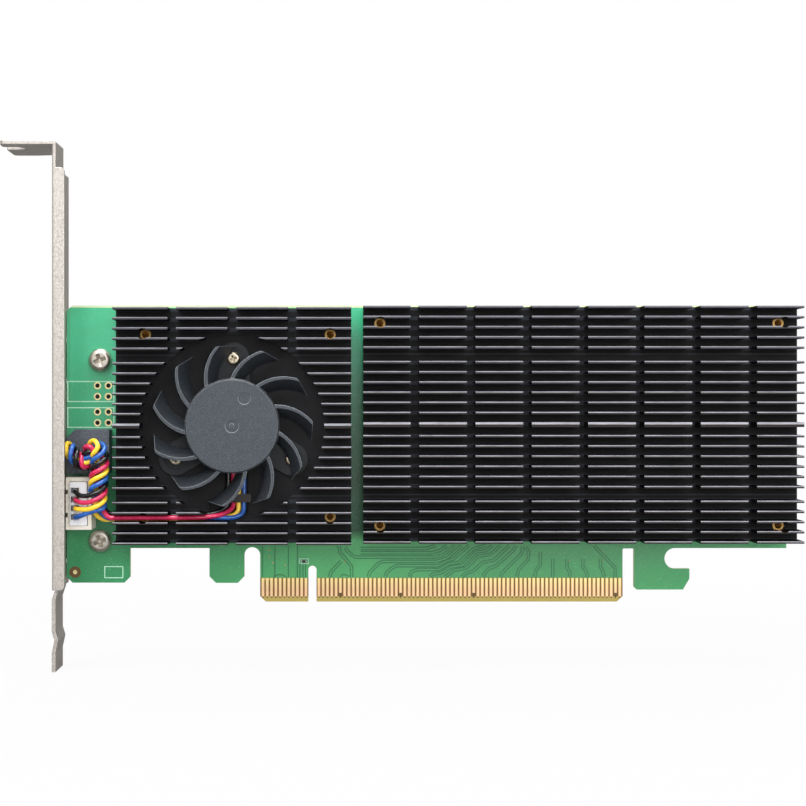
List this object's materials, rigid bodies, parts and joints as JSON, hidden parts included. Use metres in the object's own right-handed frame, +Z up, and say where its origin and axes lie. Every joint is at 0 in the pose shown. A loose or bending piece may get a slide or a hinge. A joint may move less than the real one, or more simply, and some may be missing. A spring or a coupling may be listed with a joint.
{
  "type": "nvme adapter card",
  "caption": "Expansion card that carries M.2 drives under a finned heatsink beside a fan-cooled switch chip, with a full-height bracket.",
  "frame": {"origin": "centre of the key slot at the bottom edge of the edge-contact tab, in the mid-plane of the circuit board", "axes": "+X along the board away from the bracket, +Y away from the component side, +Z up from the edge contacts"},
  "size_m": [0.1809, 0.0184, 0.12],
  "materials": {
    "solder_mask": "satin",
    "gold_plate": "polished",
    "bracket_steel": "satin",
    "screw_steel": "polished",
    "black_anodised": "matte anodised",
    "brass": "turned",
    "thermal_pad": "matte",
    "chip_package": "matte",
    "ceramic": "matte",
    "black_plastic": "moulded",
    "fan_base_black": "black coated",
    "bronze": "sintered",
    "shaft_steel": "ground",
    "magnet": "matte",
    "impeller_grey": "moulded, fine grain",
    "copper": "enamelled",
    "ivory_plastic": "moulded",
    "white_plastic": "moulded",
    "clip_brown": "moulded",
    "wire_black": "satin insulation",
    "wire_red": "satin insulation",
    "wire_yellow": "satin insulation",
    "wire_blue": "satin insulation"
  },
  "bodies": {
    "card": {"alarm_buzzer": "black_plastic", "bracket_screws": "screw_steel", "circuit_board": "solder_mask", "drive_heatsink": "black_anodised", "drive_heatsink_posts": "brass", "drive_thermal_pads": "thermal_pad", "edge_contacts": "gold_plate", "fan_base": "fan_base_black", "fan_bearing": "bronze", "fan_cable_clip": "clip_brown", "fan_coils": "copper", "fan_header": "ivory_plastic", "fan_header_pins": "gold_plate", "fan_lead": "wire_black", "fan_motor_board": "solder_mask", "fan_plug": "white_plastic", "fan_screws": "screw_steel", "fan_stator": "shaft_steel", "fan_wire_black": "wire_black", "fan_wire_blue": "wire_blue", "fan_wire_red": "wire_red", "fan_wire_yellow": "wire_yellow", "heatsink_screws": "screw_steel", "io_bracket": "bracket_steel", "m2_screws": "screw_steel", "m2_socket_lower": "black_plastic", "m2_socket_upper": "black_plastic", "m2_standoffs": "screw_steel", "plug_tail_black": "wire_black", "plug_tail_blue": "wire_blue", "plug_tail_red": "wire_red", "plug_tail_yellow": "wire_yellow", "plug_terminals": "gold_plate", "power_capacitors": "ceramic", "power_inductors": "chip_package", "regulator_chips": "chip_package", "switch_chip": "chip_package", "switch_heatsink": "black_anodised", "switch_heatsink_posts": "brass", "switch_thermal_pad": "thermal_pad"},
    "fan_rotor": {"impeller": "impeller_grey", "rotor_yoke": "shaft_steel", "rotor_magnet": "magnet", "fan_shaft": "shaft_steel", "shaft_retaining_ring": "white_plastic"}
  },
  "joints": [
    {"name": "fan_spin", "type": "hinge", "parent": "card", "child": "fan_rotor", "pos_m": [-0.0179, -0.0107, 0.0411], "axis": [0, -1, 0], "continuous": true}
  ]
}
